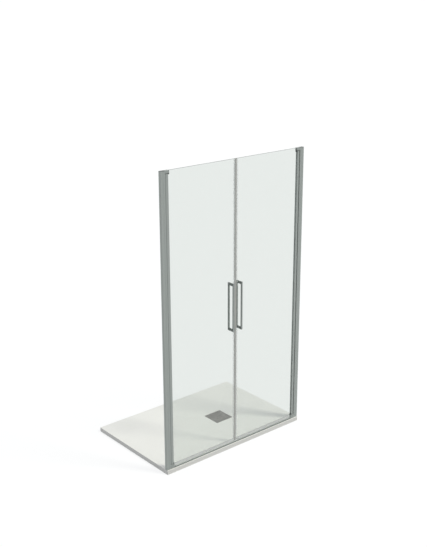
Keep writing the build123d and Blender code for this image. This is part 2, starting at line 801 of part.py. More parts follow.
def pull_handle(side):
    """A square bar with a taller post at each end, bored for the studs; side is -1 outside."""
    bar_far = side * (handle_stand_off + handle_bar / 2)
    bar_near = side * (handle_stand_off - handle_bar / 2)
    foot = side * post_end_v
    with BuildPart() as handle:
        with BuildSketch(across_door(handle_u)):
            with BuildLine():
                Polyline(
                    (foot, handle_bottom),
                    (bar_far, handle_bottom),
                    (bar_far, handle_top),
                    (foot, handle_top),
                    (foot, handle_top - handle_post_height),
                    (bar_near, handle_top - handle_post_height),
                    (bar_near, handle_bottom + handle_post_height),
                    (foot, handle_bottom + handle_post_height),
                    close=True,
                )
            make_face()
        extrude(amount=handle_bar / 2, both=True)
        foot_plane = door_y + foot
        free_edges = handle.edges().filter_by(
            lambda edge: abs(edge.center().Y - foot_plane) > handle_edge_radius
        )
        fillet(free_edges, handle_edge_radius)
        for height in post_heights:
            with BuildSketch(inwards_from(handle_u, foot, height)):
                Circle(stud_radius + stud_play)
            extrude(
                amount=side * (stud_half_length - post_end_v + stud_play), mode=Mode.SUBTRACT
            )
    return handle


left_outer_handle = pull_handle(-1)
finish_piece(left_outer_handle, "left_outer_handle", left_pieces)

# The inner handle's posts are drilled from below for the grub screws
grub_v = (post_end_v + stud_half_length) / 2
grub_bottoms = (handle_bottom, handle_top - handle_post_height)

with BuildPart() as left_inner_handle:
    add(pull_handle(1))
    for bottom in grub_bottoms:
        with BuildSketch(at_pivot(bottom)):
            with Locations((handle_u, grub_v)):
                Circle(grub_radius + screw_thread_play)
        extrude(amount=handle_post_height / 2, mode=Mode.SUBTRACT)
finish_piece(left_inner_handle, "left_inner_handle", left_pieces)

# Studs that join the outer and the inner handle through the glass
with BuildPart() as left_handle_studs:
    for height in post_heights:
        with BuildSketch(inwards_from(handle_u, 0, height)):
            Circle(stud_radius)
        extrude(amount=stud_half_length, both=True)
finish_piece(left_handle_studs, "left_handle_studs", left_pieces)

# Washers between the posts and the glass, with collars in the glass's holes
with BuildPart() as left_handle_washers:
    for height in post_heights:
        for side in (-1, 1):
            with BuildSketch(inwards_from(handle_u, side * half_glass, height)):
                Circle(handle_washer_radius)
                Circle(stud_radius + stud_collar_play, mode=Mode.SUBTRACT)
            extrude(amount=side * handle_washer_thickness)
            with BuildSketch(inwards_from(handle_u, side * half_glass, height)):
                Circle(handle_collar_radius)
                Circle(stud_radius + stud_collar_play, mode=Mode.SUBTRACT)
            extrude(amount=side * (stud_collar_play - half_glass))
finish_piece(left_handle_washers, "left_handle_washers", left_pieces)

# Grub screws that lock the inner handle on the studs
with BuildPart() as left_handle_grub_screws:
    for bottom in grub_bottoms:
        with BuildSketch(at_pivot(bottom + grub_sink)):
            with Locations((handle_u, grub_v)):
                Circle(grub_radius)
        extrude(amount=handle_post_height / 2 - stud_radius - grub_sink)
        with BuildSketch(at_pivot(bottom + grub_sink)):
            with Locations((handle_u, grub_v)):
                RegularPolygon(grub_recess_radius, 6)
        extrude(amount=grub_recess_depth, mode=Mode.SUBTRACT)
finish_piece(left_handle_grub_screws, "left_handle_grub_screws", left_pieces)

# Right half: each left piece mirrored about the middle of the doorway
right_pieces = []
for piece in left_pieces:
    with BuildPart() as twin:
        mirror(piece.part, about=Plane.YZ)
    finish_piece(twin, piece.part.label.replace("left", "right"), right_pieces)

for piece in single_pieces + left_pieces + right_pieces:
    export_step(piece.part, f"parts/{piece.part.label}.step")
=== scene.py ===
"""Looks for the niche shower enclosure: finishes, extruded seals, studio and camera.

Lengths are in metres in the part's own frame: X to the right, Y into the shower, Z up.
A size that is given in millimetres has a name that ends in _mm.
"""

import logging
import math
from dataclasses import dataclass
from enum import Enum
from typing import Any, ClassVar

import bmesh
import bpy
from mathutils import Matrix, Vector


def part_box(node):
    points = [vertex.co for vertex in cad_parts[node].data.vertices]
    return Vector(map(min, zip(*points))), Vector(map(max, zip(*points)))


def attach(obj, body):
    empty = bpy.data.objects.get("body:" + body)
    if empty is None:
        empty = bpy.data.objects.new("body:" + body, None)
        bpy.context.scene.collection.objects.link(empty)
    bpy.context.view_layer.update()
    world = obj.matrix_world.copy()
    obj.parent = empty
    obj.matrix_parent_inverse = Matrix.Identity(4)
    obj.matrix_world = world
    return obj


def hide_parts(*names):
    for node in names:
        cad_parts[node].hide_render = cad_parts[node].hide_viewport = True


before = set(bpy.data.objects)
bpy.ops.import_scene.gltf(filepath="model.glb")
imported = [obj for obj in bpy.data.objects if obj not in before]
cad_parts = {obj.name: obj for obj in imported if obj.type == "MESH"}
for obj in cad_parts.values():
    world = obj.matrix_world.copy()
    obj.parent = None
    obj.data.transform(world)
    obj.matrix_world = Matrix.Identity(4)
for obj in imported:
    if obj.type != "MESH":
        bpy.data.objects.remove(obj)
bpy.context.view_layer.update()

MM = 0.001
LOG = logging.getLogger("shower_enclosure")

# The numbers of the sRGB curve.
SRGB_TOE = 0.04045
SRGB_TOE_SLOPE = 12.92
SRGB_OFFSET = 0.055
SRGB_GAMMA = 2.4

Colour = tuple[float, float, float, float]
Section = list[tuple[float, float]]


class Side(Enum):
    """A half of the doorway. The value is the sign of X there."""

    LEFT = -1
    RIGHT = 1

    def node(self, name: str) -> str:
        """The name of this half's own piece."""
        return f"{self.name.lower()}_{name}"


class Run(Enum):
    """The axis that a grain or the lines of a die run along."""

    X = 0
    Y = 1
    Z = 2


def linear(hex_colour: str) -> Colour:
    """Turn an sRGB hex colour into the linear colour that a shader takes.

    Args:
        hex_colour: Six hex digits after a hash sign.

    Returns:
        Red, green, blue and an alpha of one.
    """
    channels = []
    for start in (1, 3, 5):
        value = int(hex_colour[start:start + 2], 16) / 255
        if value <= SRGB_TOE:
            channels.append(value / SRGB_TOE_SLOPE)
        else:
            channels.append(((value + SRGB_OFFSET) / (1 + SRGB_OFFSET)) ** SRGB_GAMMA)
    return (*channels, 1.0)


def add_node(
    tree: bpy.types.NodeTree,
    kind: str,
    settings: dict[Any, Any] | None = None,
    links: dict[Any, bpy.types.NodeSocket] | None = None,
) -> bpy.types.Node:
    """Add a node with its settings and its incoming links.

    Args:
        tree: The node tree that takes the node.
        kind: Blender's name for the kind of node.
        settings: Values by property name, or by the name or number of an input.
        links: Sockets to link from, by the name or number of an input.

    Returns:
        The new node.
    """
    node = tree.nodes.new(kind)
    for key, value in (settings or {}).items():
        if isinstance(key, str) and hasattr(node, key):
            setattr(node, key, value)
        else:
            node.inputs[key].default_value = value
    for key, socket in (links or {}).items():
        tree.links.new(socket, node.inputs[key])
    return node


# A Mix node has several sockets of one name, so its colours go by number.
MIX_COLOUR_A = 6
MIX_COLOUR_B = 7
MIX_COLOUR_OUT = 2

NOISE_DETAIL = 2.0

# A face is square to an axis where that part of its normal is over this. A 45 degree chamfer isn't.
FACE_LIMIT = 0.8

# An edge gets a painted highlight where its rounded and its flat normal agree by this or less.
EDGE_HIGHLIGHT_AGREEMENT = 0.85
EDGE_HIGHLIGHT_COLOUR = "#F2F3F1"
EDGE_SAMPLES = 4


@dataclass(frozen=True)
class Finish:
    """A real material and the way its surface was made.

    Attributes:
        name: The material's common name and how it was made.
        colour: The sRGB colour in plain light.
        shade: The sRGB colour of the slightly darker places.
        roughness: How matt the surface is, from 0 to 1.
        metallic: One for bare metal, less where a clear or scattering skin lies over it.
        ior: Index of refraction of what isn't metal.
        grit_mm: Width of the surface's bumps. Bumps under 0.5 mm are drawn coarser, so that they show.
        grit_height_mm: Height of the bumps.
        cloud_mm: Width of the places that differ in colour.
        roughness_play: How far the roughness strays from its middle value.
        edge_mm: Width of the painted highlight along an edge, or zero for none.
        edge_lift: How much lighter the painted highlight is, as a share of the way to
            EDGE_HIGHLIGHT_COLOUR.
        painted_light_by_facing: The sRGB colour of faces square to an axis, where it differs: painted shade
            or a painted highlight, by which way the face looks.
    """

    name: str
    colour: str
    shade: str
    roughness: float
    metallic: float = 0.0
    ior: float = 1.5
    grit_mm: float = 1.5
    grit_height_mm: float = 0.02
    cloud_mm: float = 60.0
    roughness_play: float = 0.05
    edge_mm: float = 0.0
    edge_lift: float = 0.3
    painted_light_by_facing: tuple[tuple[Run, str], ...] = ()

    def material(self) -> bpy.types.Material:
        """Build the node material, or hand out the one that was built before.

        Returns:
            The material with its procedural nodes.
        """
        found = bpy.data.materials.get(self.name)
        if found:
            return found
        material = bpy.data.materials.new(self.name)
        material.use_nodes = True
        tree = material.node_tree
        tree.nodes.clear()
        shader = add_node(
            tree,
            "ShaderNodeBsdfPrincipled",
            {"Roughness": self.roughness, "Metallic": self.metallic, "IOR": self.ior},
        )
        surface = self.dress(tree, shader)
        add_node(tree, "ShaderNodeOutputMaterial", links={"Surface": surface})
        return material

    def stretch(self, width_mm: float) -> tuple[float, float, float]:
        """Repeats per metre along X, Y and Z for a pattern of this width."""
        return (1 / (width_mm * MM),) * 3

    def noise(self, tree: bpy.types.NodeTree, width_mm: float) -> bpy.types.NodeSocket:
        """Add a noise in object space whose blotches have a real width.

        Args:
            tree: The material's node tree.
            width_mm: Width of one blotch.

        Returns:
            The noise's value, from 0 to 1.
        """
        place = add_node(tree, "ShaderNodeTexCoord")
        scaled = add_node(
            tree,
            "ShaderNodeMapping",
            {"Scale": self.stretch(width_mm)},
            {"Vector": place.outputs["Object"]},
        )
        blotches = add_node(
            tree,
            "ShaderNodeTexNoise",
            {"Scale": 1.0, "Detail": NOISE_DETAIL},
            {"Vector": scaled.outputs["Vector"]},
        )
        return blotches.outputs["Fac"]

    def tint(self, tree: bpy.types.NodeTree) -> bpy.types.NodeSocket:
        """Mix the two colours by a cloudy noise, then paint shade and highlights by facing.

        Args:
            tree: The material's node tree.

        Returns:
            The mixed colour.
        """
        mixed = add_node(
            tree,
            "ShaderNodeMix",
            {
                "data_type": "RGBA",
                MIX_COLOUR_A: linear(self.colour),
                MIX_COLOUR_B: linear(self.shade),
            },
            {"Factor": self.noise(tree, self.cloud_mm)},
        )
        return self.face(tree, mixed.outputs[MIX_COLOUR_OUT])

    def face(
        self, tree: bpy.types.NodeTree, colour: bpy.types.NodeSocket
    ) -> bpy.types.NodeSocket:
        """Paint shade and highlights by facing: faces square to an axis get their own colour.

        Args:
            tree: The material's node tree.
            colour: The colour of all other faces.

        Returns:
            The colour of every face.
        """
        if not self.painted_light_by_facing:
            return colour
        place = add_node(tree, "ShaderNodeTexCoord")
        facing = add_node(
            tree, "ShaderNodeSeparateXYZ", links={"Vector": place.outputs["Normal"]}
        )
        for run, painted_colour in self.painted_light_by_facing:
            along = add_node(
                tree,
                "ShaderNodeMath",
                {"operation": "ABSOLUTE"},
                {0: facing.outputs[run.value]},
            )
            faces_it = add_node(
                tree,
                "ShaderNodeMath",
                {"operation": "GREATER_THAN", 1: FACE_LIMIT},
                {0: along.outputs["Value"]},
            )
            mixed = add_node(
                tree,
                "ShaderNodeMix",
                {"data_type": "RGBA", MIX_COLOUR_B: linear(painted_colour)},
                {"Factor": faces_it.outputs["Value"], MIX_COLOUR_A: colour},
            )
            colour = mixed.outputs[MIX_COLOUR_OUT]
        return colour

    def paint_edge_highlight(
        self, tree: bpy.types.NodeTree, colour: bpy.types.NodeSocket
    ) -> bpy.types.NodeSocket:
        """Lighten the colour along the edges, as a painted highlight.

        Args:
            tree: The material's node tree.
            colour: The colour away from the edges.

        Returns:
            The colour with its worn edges, or the same colour where the finish has none.
        """
        if self.edge_mm == 0:
            return colour
        rounded_edge = add_node(
            tree, "ShaderNodeBevel", {"samples": EDGE_SAMPLES, "Radius": self.edge_mm * MM}
        )
        flat = add_node(tree, "ShaderNodeNewGeometry")
        agreement = add_node(
            tree,
            "ShaderNodeVectorMath",
            {"operation": "DOT_PRODUCT"},
            {0: rounded_edge.outputs["Normal"], 1: flat.outputs["Normal"]},
        )
        share = add_node(
            tree,
            "ShaderNodeMapRange",
            {
                "From Min": 1.0,
                "From Max": EDGE_HIGHLIGHT_AGREEMENT,
                "To Min": 0.0,
                "To Max": self.edge_lift,
            },
            {"Value": agreement.outputs["Value"]},
        )
        mixed = add_node(
            tree,
            "ShaderNodeMix",
            {"data_type": "RGBA", MIX_COLOUR_B: linear(EDGE_HIGHLIGHT_COLOUR)},
            {"Factor": share.outputs["Result"], MIX_COLOUR_A: colour},
        )
        return mixed.outputs[MIX_COLOUR_OUT]

    def dress(
        self, tree: bpy.types.NodeTree, shader: bpy.types.Node
    ) -> bpy.types.NodeSocket:
        """Give the shader its colour, its grit and its uneven gloss.

        Args:
            tree: The material's node tree.
            shader: The surface's main shader.

        Returns:
            The shader socket for the material's output.
        """
        grit = self.noise(tree, self.grit_mm)
        bump = add_node(
            tree,
            "ShaderNodeBump",
            {"Strength": 1.0, "Distance": self.grit_height_mm * MM},
            {"Height": grit},
        )
        gloss = add_node(
            tree,
            "ShaderNodeMapRange",
            {
                "To Min": self.roughness - self.roughness_play,
                "To Max": self.roughness + self.roughness_play,
            },
            {"Value": grit},
        )
        tree.links.new(self.paint_edge_highlight(tree, self.tint(tree)), shader.inputs["Base Color"])
        tree.links.new(gloss.outputs["Result"], shader.inputs["Roughness"])
        tree.links.new(bump.outputs["Normal"], shader.inputs["Normal"])
        return shader.outputs["BSDF"]


@dataclass(frozen=True)
class GrainedMetal(Finish):
    """Metal with fine lines along one axis, from a die, a brush or drawing.

    Attributes:
        run: The axis that the lines follow.
        stretch_share: A line's width as a share of its length.
    """

    run: Run = Run.Z
    stretch_share: float = 0.01

    def stretch(self, width_mm: float) -> tuple[float, float, float]:
        """Draw the pattern out along the lines.

        Args:
            width_mm: Width of one line.

        Returns:
            Repeats per metre along X, Y and Z.
        """
        repeats = list(super().stretch(width_mm))
        repeats[self.run.value] *= self.stretch_share
        return tuple(repeats)


@dataclass(frozen=True)
class FloatGlass(Finish):
    """Toughened float glass with polished faces and ground, seamed edges.

    Its shade is the faint tint of the light that lamps send through it.

    Attributes:
        edge_colour: The sRGB colour of the ground edges: their own grey-green, darkened with painted shade
            for the light that the glass's body takes up along its length.
        edge_share: How much of the ground edge's own colour hides what is behind it.
        edge_roughness: How matt the ground edges are, from 0 to 1.
        face_limit: A face is polished where its normal's part along Y is over this.
    """

    edge_colour: str = "#38433E"
    edge_share: float = 0.95
    edge_roughness: float = 0.45
    face_limit: float = 0.9

    def dress(
        self, tree: bpy.types.NodeTree, shader: bpy.types.Node
    ) -> bpy.types.NodeSocket:
        """Make the faces clear and the edges matt, and let lamps shine through.

        Args:
            tree: The material's node tree.
            shader: The surface's main shader.

        Returns:
            The shader socket for the material's output.
        """
        shader.inputs["Base Color"].default_value = linear(self.colour)
        shader.inputs["Transmission Weight"].default_value = 1.0
        rollers = add_node(
            tree,
            "ShaderNodeBump",
            {"Strength": 1.0, "Distance": self.grit_height_mm * MM},
            {"Height": self.noise(tree, self.grit_mm)},
        )
        tree.links.new(rollers.outputs["Normal"], shader.inputs["Normal"])
        edge = add_node(
            tree,
            "ShaderNodeBsdfPrincipled",
            {
                "Base Color": linear(self.edge_colour),
                "Roughness": self.edge_roughness,
                "IOR": self.ior,
            },
        )
        place = add_node(tree, "ShaderNodeTexCoord")
        facing = add_node(
            tree, "ShaderNodeSeparateXYZ", links={"Vector": place.outputs["Normal"]}
        )
        square = add_node(
            tree, "ShaderNodeMath", {"operation": "ABSOLUTE"}, {0: facing.outputs["Y"]}
        )
        ground = add_node(
            tree,
            "ShaderNodeMath",
            {"operation": "LESS_THAN", 1: self.face_limit},
            {0: square.outputs["Value"]},
        )
        share = add_node(
            tree,
            "ShaderNodeMath",
            {"operation": "MULTIPLY", 1: self.edge_share},
            {0: ground.outputs["Value"]},
        )
        solid = add_node(
            tree,
            "ShaderNodeMixShader",
            links={
                0: share.outputs["Value"],
                1: shader.outputs["BSDF"],
                2: edge.outputs["BSDF"],
            },
        )
        clear = add_node(tree, "ShaderNodeBsdfTransparent", {"Color": linear(self.shade)})
        rays = add_node(tree, "ShaderNodeLightPath")
        lamp_rays = add_node(
            tree,
            "ShaderNodeMath",
            {"operation": "MAXIMUM"},
            {0: rays.outputs["Is Shadow Ray"], 1: rays.outputs["Is Diffuse Ray"]},
        )
        mixed = add_node(
            tree,
            "ShaderNodeMixShader",
            links={
                0: lamp_rays.outputs["Value"],
                1: solid.outputs["Shader"],
                2: clear.outputs["BSDF"],
            },
        )
        return mixed.outputs["Shader"]


@dataclass(frozen=True)
class ClearVinyl(Finish):
    """Soft clear vinyl, extruded, with a faint milky haze.

    Attributes:
        haze: How much one surface hides what is behind it.
    """

    haze: float = 0.2

    def dress(
        self, tree: bpy.types.NodeTree, shader: bpy.types.Node
    ) -> bpy.types.NodeSocket:
        """Add the haze to what every finish has."""
        shader.inputs["Alpha"].default_value = self.haze
        return super().dress(tree, shader)


# Aluminium, extruded, etched satin and anodised: an even soft grey sheen with faint upright die lines.
# The ends, which face up and down, carry painted shade: they are darker.
# The lines are some 0.1 mm wide on the real thing and are drawn 3 mm wide, so that they show.
ANODISED_UPRIGHT = GrainedMetal(
    name="anodised_aluminium_extruded_upright",
    colour="#A8AEAA",
    shade="#9EA4A0",
    roughness=0.4,
    metallic=0.45,
    grit_mm=3.0,
    grit_height_mm=0.01,
    cloud_mm=8.0,
    painted_light_by_facing=((Run.Z, "#6A706C"),),
    run=Run.Z,
)

# The same aluminium, with its die lines along the threshold. Its level top is painted paler as a highlight,
# its sloping nose keeps the plain grey, and its ends carry painted shade. The lines are drawn as wide as on
# the profiles.
ANODISED_LEVEL = GrainedMetal(
    name="anodised_aluminium_extruded_level",
    colour="#8B918D",
    shade="#828884",
    roughness=0.4,
    metallic=0.45,
    grit_mm=3.0,
    grit_height_mm=0.01,
    cloud_mm=8.0,
    painted_light_by_facing=((Run.X, "#6A706C"), (Run.Z, "#DDE0DD")),
    run=Run.X,
)

# Aluminium, machined from bar and anodised: the same grey, with a shorter grain. Its faces that look up and
# down carry painted shade, darker, and its edges a painted highlight.
# The cutter's marks are some 0.2 mm wide on the real thing and are drawn coarser, so that they show.
ANODISED_BLOCK = GrainedMetal(
    name="anodised_aluminium_machined",
    colour="#A1A7A3",
    shade="#979D99",
    roughness=0.36,
    metallic=0.45,
    grit_mm=1.5,
    grit_height_mm=0.01,
    cloud_mm=5.0,
    edge_mm=0.4,
    painted_light_by_facing=((Run.Z, "#8F9591"),),
    run=Run.Z,
    stretch_share=0.05,
)

# Brass bar, drawn square and plated with satin chrome: a darker, sharper grey than the aluminium. Painted
# shade makes its level faces darkest and its faces along X darker, and its edges carry a faint painted
# highlight. The polishing lines are some 0.1 mm wide and are drawn 1 mm wide, so that they show.
SATIN_CHROME = GrainedMetal(
    name="satin_chrome_plated",
    colour="#ADB2AF",
    shade="#A0A5A2",
    roughness=0.3,
    metallic=0.55,
    grit_mm=1.0,
    grit_height_mm=0.006,
    cloud_mm=6.0,
    edge_mm=0.5,
    edge_lift=0.15,
    painted_light_by_facing=((Run.Z, "#3C413E"), (Run.X, "#747A77")),
    run=Run.Z,
    stretch_share=0.03,
)

# Stainless steel sheet, brushed: short bright and dark strokes from the belt, which read as a fine mottle.
# The sides that are folded down across the brushing carry painted shade: they are even and dark. Its edges
# carry a painted highlight.
# The strokes are some 0.2 mm wide on the real thing and are drawn coarser, so that they show.
BRUSHED_STEEL = GrainedMetal(
    name="stainless_steel_brushed",
    colour="#9C9A94",
    shade="#353330",
    roughness=0.42,
    metallic=0.5,
    grit_mm=1.2,
    grit_height_mm=0.02,
    cloud_mm=12.0,
    edge_mm=0.8,
    painted_light_by_facing=((Run.X, "#6C6D69"),),
    run=Run.X,
    stretch_share=0.3,
)

# Stainless steel, turned: plain bright screws, pins and studs.
TURNED_STEEL = Finish(
    name="stainless_steel_turned",
    colour="#A9ABAA",
    shade="#8F9190",
    roughness=0.3,
    metallic=0.9,
    grit_mm=0.5,
    grit_height_mm=0.01,
    cloud_mm=3.0,
)

# Mineral resin, cast with a satin gelcoat: pale and even, with a fine grit that stops a foot from slipping.
# Its sides carry painted shade: they are a shade greyer than the top.
# The grit is under 1 mm on the real thing and is drawn 4 mm wide, so that it shows.
GELCOAT = Finish(
    name="gelcoat_on_cast_resin",
    colour="#F1F0E9",
    shade="#EBEAE3",
    roughness=0.42,
    ior=1.54,
    grit_mm=4.0,
    grit_height_mm=0.05,
    cloud_mm=160.0,
    painted_light_by_facing=((Run.X, "#EBEAE4"), (Run.Y, "#EBEAE4")),
)

# Float glass, toughened: clear with a faint grey-green body and slow waves from the furnace rollers.
GLASS = FloatGlass(
    name="float_glass_toughened",
    colour="#E5E9E6",
    shade="#FDFEFD",
    roughness=0.0,
    ior=1.52,
    grit_mm=220.0,
    grit_height_mm=0.02,
)

# Soft vinyl, extruded clear: the closing seal's legs, which grip the glass, barely hazy.
CLEAR_VINYL = ClearVinyl(
    name="vinyl_clear_extruded",
    colour="#F0F2F0",
    shade="#E6E9E6",
    roughness=0.3,
    ior=1.53,
    grit_mm=2.0,
    cloud_mm=30.0,
    haze=0.13,
)

# Soft vinyl, extruded milky: the drip seal's channel under the glass and its fin, which let little light
# through.
MILKY_VINYL = ClearVinyl(
    name="vinyl_milky_extruded",
    colour="#F6F8F5",
    shade="#EEF0ED",
    roughness=0.35,
    ior=1.53,
    grit_mm=2.0,
    cloud_mm=30.0,
    haze=0.85,
)

# Softer vinyl, extruded with that channel: its two pale grey lips, which grip the glass.
LIP_VINYL = Finish(
    name="vinyl_soft_grey_extruded",
    colour="#D6D9D5",
    shade="#CCCFCB",
    roughness=0.5,
    ior=1.53,
    grit_mm=2.0,
    cloud_mm=30.0,
)

# Rigid vinyl, extruded grey: the closed chamber round the magnet, with a soft even sheen.
GREY_VINYL = Finish(
    name="vinyl_grey_extruded",
    colour="#CBCCC6",
    shade="#C2C3BD",
    roughness=0.45,
    ior=1.54,
    grit_mm=2.0,
    cloud_mm=40.0,
)

# Thermoplastic elastomer, extruded: the glazing channel, milky and matt.
ELASTOMER = Finish(
    name="elastomer_extruded",
    colour="#BBBFBC",
    shade="#B0B4B1",
    roughness=0.6,
    grit_mm=1.0,
    cloud_mm=30.0,
)

# Ferrite in rubber, extruded: the dull black magnet strip.
MAGNET = Finish(
    name="ferrite_rubber_extruded",
    colour="#262626",
    shade="#1E1E1E",
    roughness=0.75,
    ior=1.52,
    grit_mm=0.8,
    cloud_mm=20.0,
)

# Synthetic rubber, moulded: the waste's ring and the cover's feet.
RUBBER = Finish(
    name="epdm_rubber_moulded",
    colour="#222322",
    shade="#1A1B1A",
    roughness=0.8,
    ior=1.52,
    grit_mm=0.8,
    grit_height_mm=0.03,
    cloud_mm=15.0,
)

# Acetal, moulded: the pale slippery bushes and thrust washers.
ACETAL = Finish(
    name="acetal_moulded",
    colour="#E2E1D9",
    shade="#D8D7CF",
    roughness=0.35,
    ior=1.48,
    grit_mm=0.8,
    cloud_mm=8.0,
)

# ABS, moulded grey: the caps on the profiles and the leaves' lower end plugs.
GREY_ABS = Finish(
    name="abs_grey_moulded",
    colour="#656A67",
    shade="#5D625F",
    roughness=0.5,
    ior=1.54,
    grit_mm=0.7,
    grit_height_mm=0.02,
    cloud_mm=8.0,
)

# Glass-filled nylon, moulded dark: the plug that steadies the leaf at the top, with a dull dry face.
DARK_NYLON = Finish(
    name="nylon_glass_filled_moulded",
    colour="#454A47",
    shade="#3E4340",
    roughness=0.6,
    ior=1.53,
    grit_mm=0.6,
    grit_height_mm=0.02,
    cloud_mm=6.0,
)

# ABS, moulded and lacquered: the threshold's ends, in the rail's grey, with their top painted paler as a
# highlight, as on the rail.
LACQUERED_ABS = Finish(
    name="abs_lacquered_moulded",
    colour="#7F8582",
    shade="#767C79",
    roughness=0.45,
    ior=1.54,
    grit_mm=0.9,
    grit_height_mm=0.02,
    cloud_mm=10.0,
    painted_light_by_facing=((Run.Z, "#B6B9B6"),),
)

# Polypropylene, moulded: the waste flange and the strainer in it.
POLYPROPYLENE = Finish(
    name="polypropylene_moulded",
    colour="#D9DAD7",
    shade="#CDCECB",
    roughness=0.45,
    ior=1.49,
    grit_mm=1.0,
    cloud_mm=12.0,
)

# Acrylic washer, turned clear: it lies between a post and the glass.
CLEAR_ACRYLIC = ClearVinyl(
    name="acrylic_clear_turned",
    colour="#DDE3E0",
    shade="#D2D8D5",
    roughness=0.2,
    ior=1.49,
    grit_mm=0.8,
    cloud_mm=5.0,
    haze=0.45,
)


def dress_node(name: str, finish: Finish) -> None:
    """Give a CAD node a finish.

    Args:
        name: The node's name.
        finish: The finish for all its faces.
    """
    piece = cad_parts[name]
    if not piece.material_slots:
        piece.data.materials.append(None)
    for slot in piece.material_slots:
        slot.material = finish.material()
    LOG.info("%s is dressed as %s", name, finish.name)


@dataclass
class Strip:
    """A long extruded strip with an uneven section, such as a seal.

    Attributes:
        name: The piece's name.
        outline: The section's outer line, in two lengths across the strip.
        start: Where the strip starts along its length.
        end: Where it ends.
        to_frame: Turns the two lengths across and the one along into the part's own frame.
        hole: The line of a chamber in the section, or none.
    """

    name: str
    outline: Section
    start: float
    end: float
    to_frame: Matrix
    hole: Section | None = None

    def mesh(self) -> bpy.types.Object:
        """Build the strip as one closed mesh.

        Returns:
            The new object, in the part's frame.
        """
        built = bmesh.new()
        rings = [self.outline] + ([self.hole] if self.hole else [])
        edges: dict[float, list[bmesh.types.BMEdge]] = {}
        for level in (self.start, self.end):
            edges[level] = []
            for ring in rings:
                points = [built.verts.new((x, y, level)) for x, y in ring]
                count = len(points)
                edges[level] += [
                    built.edges.new((points[i], points[(i + 1) % count])) for i in range(count)
                ]
        for low, high in zip(edges[self.start], edges[self.end]):
            built.faces.new((low.verts[0], low.verts[1], high.verts[1], high.verts[0]))
        for level in edges:
            bmesh.ops.triangle_fill(built, edges=edges[level], use_beauty=True)
        bmesh.ops.recalc_face_normals(built, faces=built.faces)
        data = bpy.data.meshes.new(self.name)
        built.to_mesh(data)
        built.free()
        data.transform(self.to_frame)
        piece = bpy.data.objects.new(self.name, data)
        bpy.context.scene.collection.objects.link(piece)
        return piece


def rounded(corners: Section, radii: list[float], steps: int = 4) -> Section:
    """Round the corners of a closed line.

    Args:
        corners: The line's corners in order.
        radii: A radius for each corner, or zero for a sharp one.
        steps: Straight pieces in each arc.

    Returns:
        The points of the rounded line.
    """
    points: Section = []
    count = len(corners)
    for index, (corner, radius) in enumerate(zip(corners, radii)):
        here = Vector(corner)
        if radius <= 0:
            points.append(corner)
            continue
        back = (Vector(corners[index - 1]) - here).normalized()
        ahead = (Vector(corners[(index + 1) % count]) - here).normalized()
        half_turn = back.angle(ahead) / 2
        middle = here + (back + ahead).normalized() * (radius / math.sin(half_turn))
        first = here + back * (radius / math.tan(half_turn)) - middle
        last = here + ahead * (radius / math.tan(half_turn)) - middle
        for step in range(steps + 1):
            arm = first.lerp(last, step / steps).normalized() * radius
            points.append(tuple(middle + arm))
    return points


@dataclass
class Tray:
    """The tray with its drain cover and the waste under it.

    Attributes:
        finishes: The finish of each CAD node.
    """

    finishes: ClassVar[dict[str, Finish]] = {
        "shower_tray": GELCOAT,
        "drain_cover": BRUSHED_STEEL,
        "drain_cover_feet": RUBBER,
        "hair_strainer": POLYPROPYLENE,
        "waste_flange": POLYPROPYLENE,
        "waste_seal": RUBBER,
    }

    def build(self) -> None:
        """Dress the tray and all that lies in its drain."""
        for name, finish in self.finishes.items():
            dress_node(name, finish)


@dataclass
class Doorway:
    """The fixed pieces of one half of the doorway, and the threshold's end there.

    Attributes:
        side: The half of the doorway.
        finishes: The finish of each CAD node, by its name without the side.
    """

    side: Side

    finishes: ClassVar[dict[str, Finish]] = {
        "wall_profile": ANODISED_UPRIGHT,
        "jamb_profile": ANODISED_UPRIGHT,
        "top_pivot_block": ANODISED_BLOCK,
        "bottom_pivot_block": ANODISED_BLOCK,
        "top_cap": GREY_ABS,
        "threshold_end": LACQUERED_ABS,
        "jamb_seal": GREY_VINYL,
        "jamb_screws": TURNED_STEEL,
        "block_screws": TURNED_STEEL,
        "pivot_pins": TURNED_STEEL,
        "thrust_washers": ACETAL,
    }

    def build(self) -> None:
        """Dress this half's fixed pieces."""
        for name, finish in self.finishes.items():
            dress_node(self.side.node(name), finish)


